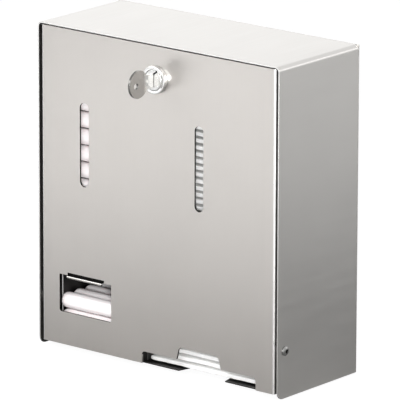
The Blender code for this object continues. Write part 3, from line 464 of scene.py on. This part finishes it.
# A packet's section is a flat oval, |y|^60 + |z|^7 = 1, slimmer towards the fold in front. Its height and
# its bulge shrink to the closed ends by the root of 1 - |s|^50, where s runs from -1 to 1 along X.
section_y = np.sign(np.cos(around)) * np.abs(np.cos(around)) ** (2 / DEPTH_POWER)
section_z = np.sign(np.sin(around)) * np.abs(np.sin(around)) ** (2 / HEIGHT_POWER)
section_z = section_z * (1 - FOLD_SLIMNESS * np.exp(-(1 + section_y) * depth / 2 / FOLD_LENGTH))
front = np.clip(-section_y, 0, 1)
along = np.cos(np.linspace(0, math.pi, 37))
s = (-np.sign(along) * np.abs(along) ** 0.6)[:, None]
swell = (1 - np.abs(s) ** END_POWER) ** 0.5
packets = []
for k in range(round((high[2] - low[2]) / PAD_PITCH)):
    wave = sum(height * np.sin(speed * s + step * k) for height, speed, step in FOLD_WAVES)
    grid = np.empty((len(s), len(around), 3))
    grid[:, :, 0] = (low[0] + high[0]) / 2 + s * (high[0] - low[0]) / 2 * SHORT_OF_SOLID
    grid[:, :, 1] = (low[1] + high[1]) / 2 + section_y * (depth / 2 - PACKET_PLAY)
    grid[:, :, 1] += (wave - FOLD_BULGE * swell) * front
    grid[:, :, 2] = low[2] + PAD_PITCH * (k + 0.5) + section_z * (PAD_PITCH / 2 - PACKET_GAP) * swell
    packets.append(grid)
pads = skin("pad_packets", packets)
# The film is a plain white, nearly matte, with wider creases and a faint shine on the folds.
paint(pads, film_wrap("white_film_wrap_pad", "#FCFCFB", "#F0F0EF", 5.56, 0.2, 0.0004, 0.5,
                      (0.002, 0.0018, 0.0017)))
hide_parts("pad_stack")
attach(pads, "door")

# Weld studs and nuts
# Eight stainless studs, welded behind the door, and the zinc plated nuts on them that hold both
# magazines.
for number in range(1, 9):
    paint(finished(f"weld_stud_{number}", 0.00015), magazine_steel)
    paint(finished(f"magazine_nut_{number}", 0.00025), zinc)

# Cam lock
# A die-cast, chromed barrel with a round bezel in front of the door, clamped in it by a washer and a
# nut behind.


def plated(name, colour, rough):
    """Polished plating, such as chrome: a clear mirror with faint polishing swirls 1.67 mm across."""
    made, tree, shader, place = plain_material(name, 1.0)
    shader.inputs["Base Color"].default_value = linear(colour)
    swirls = node(tree, "ShaderNodeTexNoise", Vector=place, Scale=to_the_metre(1.667), Detail=3.0)
    polish = node(tree, "ShaderNodeMapRange", Value=swirls.outputs["Fac"], From_Min=NOISE_LOW,
                  From_Max=NOISE_HIGH, To_Min=rough, To_Max=rough + 0.05)
    tree.links.new(polish.outputs[0], shader.inputs["Roughness"])
    return made


# The face of the bezel mirrors the white room, and its round side is a more blurred chrome, painted
# greyer as a painted shade. A face belongs to the side if the cosine of its angle to the axis is below
# this.
FACING_SIDEWAYS = 0.3
lock_chrome = plated("polished_chrome_lock", "#FAFAF9", 0.14)
painted_shade_lock_side = plated("painted_shade_chrome_lock_side", "#B4B4B3", 0.26)
low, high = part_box("lock_barrel")
lock_axis = (low[2] + high[2]) / 2
# Radii, and distances from the door's front into the case, in millimetres.
BORE, PLUG_RECESS, BODY = 6.3, 8.8, 9.5
RECESS_FLOOR, BARREL_END = 1.7, 14.6
rounded_bezel = [(8.95, -4.45), (10.5, -4.5), (10.9, -4.42), (11.25, -4.2), (11.45, -3.85), (11.5, -3.5),
                 (11.5, -0.3)]
profile = [(BORE, BARREL_END), (BORE, RECESS_FLOOR), (PLUG_RECESS, RECESS_FLOOR), (PLUG_RECESS, -4.3)]
profile += rounded_bezel
profile += [(BODY, -0.3), (BODY, BARREL_END - 0.2), (BODY - 0.2, BARREL_END), (BORE, BARREL_END)]
# The profile is turned about the lock's axis, which runs along Y, in 96 steps.
radius, distance = (np.array(profile) / 1000).T[:, :, None]
around = np.linspace(0, 2 * math.pi, 97)[:-1]
grid = np.empty((len(profile), len(around), 3))
grid[:, :, 0] = radius * np.cos(around)
grid[:, :, 1] = door_front + distance
grid[:, :, 2] = lock_axis + radius * np.sin(around)
barrel = skin("lock_barrel_chromed", [grid], crease=28.0)
paint(barrel, lock_chrome, painted_shade_lock_side)
for face in barrel.data.polygons:
    face.material_index = int(abs(face.normal.y) < FACING_SIDEWAYS)
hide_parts("lock_barrel")
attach(barrel, "door")
paint(finished("lock_washer"), zinc)
paint(finished("lock_nut", 0.0004), zinc)

# Lock plug and cam
# The chromed plug has a stamped slanting notch in its slightly duller face, and a thin black fill laid on
# the face there is a painted shade. The cam is a pressed strip of zinc plated steel on the plug's square
# end, held by a screw.
NOTCH_ENDS = np.array([(-0.0002, 0.0044), (0.0045, 0.0079)])
NOTCH_HALF_WIDTH = 0.0007
# How far the plug's face and the front of the notch's thin black fill stand in front of the door.
PLUG_FACE = 0.0045
NOTCH_FRONT = 0.00459
plug_face = plated("polished_chrome_plug", "#DCDCDB", 0.2)
paint(finished("lock_plug", 0.0002), plug_face)
inner, outer = NOTCH_ENDS
across = np.array([-0.6, 0.8]) * NOTCH_HALF_WIDTH
corners = [inner - across, outer - across, outer + across, inner + across]
levels = (door_front - NOTCH_FRONT, door_front - PLUG_FACE)
points = [(x, y, lock_axis + z) for y in levels for x, z in corners]
walls = [(i, i + 4, (i + 1) % 4 + 4, (i + 1) % 4) for i in range(4)]
notch_mesh = bpy.data.meshes.new("plug_notch_painted_shade")
notch_mesh.from_pydata(points, [], [(0, 1, 2, 3), (7, 6, 5, 4)] + walls)
notch = placed("plug_notch_painted_shade", notch_mesh)
# The notch's thin black fill is a painted shade.
paint(notch, plated("painted_shade_plug_notch", "#101010", 0.5))
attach(notch, "lock")
paint(finished("lock_cam", 0.0002), zinc)
paint(finished("cam_screw", 0.0002), zinc)

# Key
# A blanked brass key with nickel plating and a round bow. Its colour is darker and greyer on the bow and
# lighter on the shank, and it blends between these two places along Y.
BOW_Y = -0.1190
SHANK_Y = -0.1115
BOW_NICKEL, SHANK_NICKEL = "#787775", "#CFCECB"
key_nickel = plated("nickel_plated_key", BOW_NICKEL, 0.18)
tree = key_nickel.node_tree
place = node(tree, "ShaderNodeTexCoord").outputs["Object"]
forward = node(tree, "ShaderNodeSeparateXYZ", Vector=place).outputs["Y"]
toward_shank = node(tree, "ShaderNodeMapRange", Value=forward, From_Min=BOW_Y, From_Max=SHANK_Y, To_Min=0.0,
            To_Max=1.0)
nickel = node(tree, "ShaderNodeMix", {"data_type": "RGBA"}, i0=toward_shank.outputs[0], i6=linear(BOW_NICKEL),
              i7=linear(SHANK_NICKEL))
tree.links.new(nickel.outputs[2], tree.nodes["Principled BSDF"].inputs["Base Color"])
paint(finished("key", 0.0003), key_nickel)

# Studio
# A white room with soft lamps round a pale floor. The camera stands where the photograph was taken.
CAMERA_TURN, CAMERA_RISE, CAMERA_ROLL = (math.radians(v) for v in (39.373, 15.069, 0.124))
CAMERA_DISTANCE = 4.3748
back = Vector((
    math.sin(CAMERA_TURN) * math.cos(CAMERA_RISE),
    -math.cos(CAMERA_TURN) * math.cos(CAMERA_RISE),
    math.sin(CAMERA_RISE),
))
level = Vector((math.cos(CAMERA_TURN), math.sin(CAMERA_TURN), 0.0))
upward = back.cross(level)
right = level * math.cos(CAMERA_ROLL) + upward * math.sin(CAMERA_ROLL)
up = upward * math.cos(CAMERA_ROLL) - level * math.sin(CAMERA_ROLL)
middle_of_case = Vector((0.0, -0.051, 0.0))
spot = middle_of_case + back * CAMERA_DISTANCE
lens = bpy.data.cameras.new("photo_camera")
lens.sensor_width = 36.0
lens.lens = 487.06
lens.shift_x = 0.0079
lens.shift_y = -0.0090
lens.clip_end = 20.0
camera = placed("photo_camera", lens)
camera.matrix_world = Matrix(
    [[right[i], up[i], back[i], spot[i]] for i in range(3)] + [[0.0, 0.0, 0.0, 1.0]]
)
bpy.context.scene.camera = camera
bpy.context.scene.view_settings.view_transform = "Standard"

# The room is plain white to the camera and in reflections, and its soft light on the pieces is weaker.
ROOM_LIGHT = 0.36
world = bpy.data.worlds.new("white_room")
bpy.context.scene.world = world
world.use_nodes = True
tree = world.node_tree
tree.nodes.clear()
path = node(tree, "ShaderNodeLightPath")
shiny = node(tree, "ShaderNodeMath", {"operation": "MAXIMUM"}, i0=path.outputs["Is Glossy Ray"],
             i1=path.outputs["Is Transmission Ray"])
seen = node(tree, "ShaderNodeMath", {"operation": "MAXIMUM"}, i0=path.outputs["Is Camera Ray"],
            i1=shiny.outputs[0])
room = node(tree, "ShaderNodeBackground", Color=(1.0, 1.0, 1.0, 1.0), Strength=ROOM_LIGHT)
white = node(tree, "ShaderNodeBackground", Color=(1.0, 1.0, 1.0, 1.0), Strength=1.0)
mix = node(tree, "ShaderNodeMixShader", Fac=seen.outputs[0], i1=room.outputs[0], i2=white.outputs[0])
node(tree, "ShaderNodeOutputWorld", Surface=mix.outputs[0])


def lamp(name, place, aim, size, power):
    """A square soft lamp of a size in metres and a power in watts, which faces a point."""
    data = bpy.data.lights.new(name, "AREA")
    data.size = size
    data.energy = power
    made = placed(name, data)
    made.location = place
    made.rotation_euler = (Vector(aim) - Vector(place)).to_track_quat("-Z", "Y").to_euler()


lamp("front_left_lamp", place=(-0.65, -0.85, 0.42), aim=(-0.6, -0.8, -0.14), size=0.6, power=3.9)
lamp("back_right_lamp", place=(1.05, 1.05, 0.45), aim=(1.0, 1.0, -0.14), size=0.6, power=1.8)
lamp("camera_side_lamp", place=(1.25, -1.55, 0.28), aim=(0, -0.1, -0.02), size=0.4, power=32.0)
lamp("front_high_lamp", place=(0.25, -1.2, 0.75), aim=(-0.06, -0.1, -0.06), size=0.5, power=5.5)
lamp("back_left_lamp", place=(-1.1, 1.35, 0.6), aim=(0, 0, 0.13), size=1.0, power=1.0)

# The floor is matte and pale, bright enough to the camera to meet the white room. To all other rays it
# is grey, and darkest in the dispenser's shade, which fades out between these two radii in metres, from
# the first of the two greys to the second.
SHADE_NEAR, SHADE_FAR = 0.15, 0.9
SHADE_DARK, SHADE_PALE = 0.34, 0.85
FLOOR_GLOW = 0.94
FLOOR_GREY = (0.14, 0.14, 0.14, 1.0)
REACH = 3.0
GROUND = -0.1375
SHADE_CENTRE = (0.09, 0.08, GROUND)
floor_corners = [(-REACH, -REACH), (REACH, -REACH), (REACH, REACH), (-REACH, REACH)]
floor_mesh = bpy.data.meshes.new("floor")
floor_mesh.from_pydata([(x, y, GROUND) for x, y in floor_corners], [], [(0, 1, 2, 3)])
floor = placed("floor", floor_mesh)
floor_paint = bpy.data.materials.new("pale_floor")
floor_paint.use_nodes = True
tree = floor_paint.node_tree
tree.nodes.clear()
path = node(tree, "ShaderNodeLightPath")
place = node(tree, "ShaderNodeTexCoord").outputs["Object"]
away = node(tree, "ShaderNodeVectorMath", {"operation": "DISTANCE"}, i0=place, i1=SHADE_CENTRE)
fade = node(tree, "ShaderNodeMapRange", Value=away.outputs["Value"], From_Min=SHADE_NEAR,
            From_Max=SHADE_FAR, To_Min=SHADE_DARK, To_Max=SHADE_PALE)
matte = node(tree, "ShaderNodeBsdfDiffuse", Color=fade.outputs[0])
thin = node(tree, "ShaderNodeBsdfDiffuse", Color=FLOOR_GREY)
lit = node(tree, "ShaderNodeEmission", Color=(1.0, 1.0, 1.0, 1.0), Strength=FLOOR_GLOW)
pale = node(tree, "ShaderNodeAddShader", i0=thin.outputs[0], i1=lit.outputs[0])
seen = node(tree, "ShaderNodeMixShader", Fac=path.outputs["Is Camera Ray"], i1=matte.outputs[0],
            i2=pale.outputs[0])
node(tree, "ShaderNodeOutputMaterial", Surface=seen.outputs[0])
paint(floor, floor_paint)
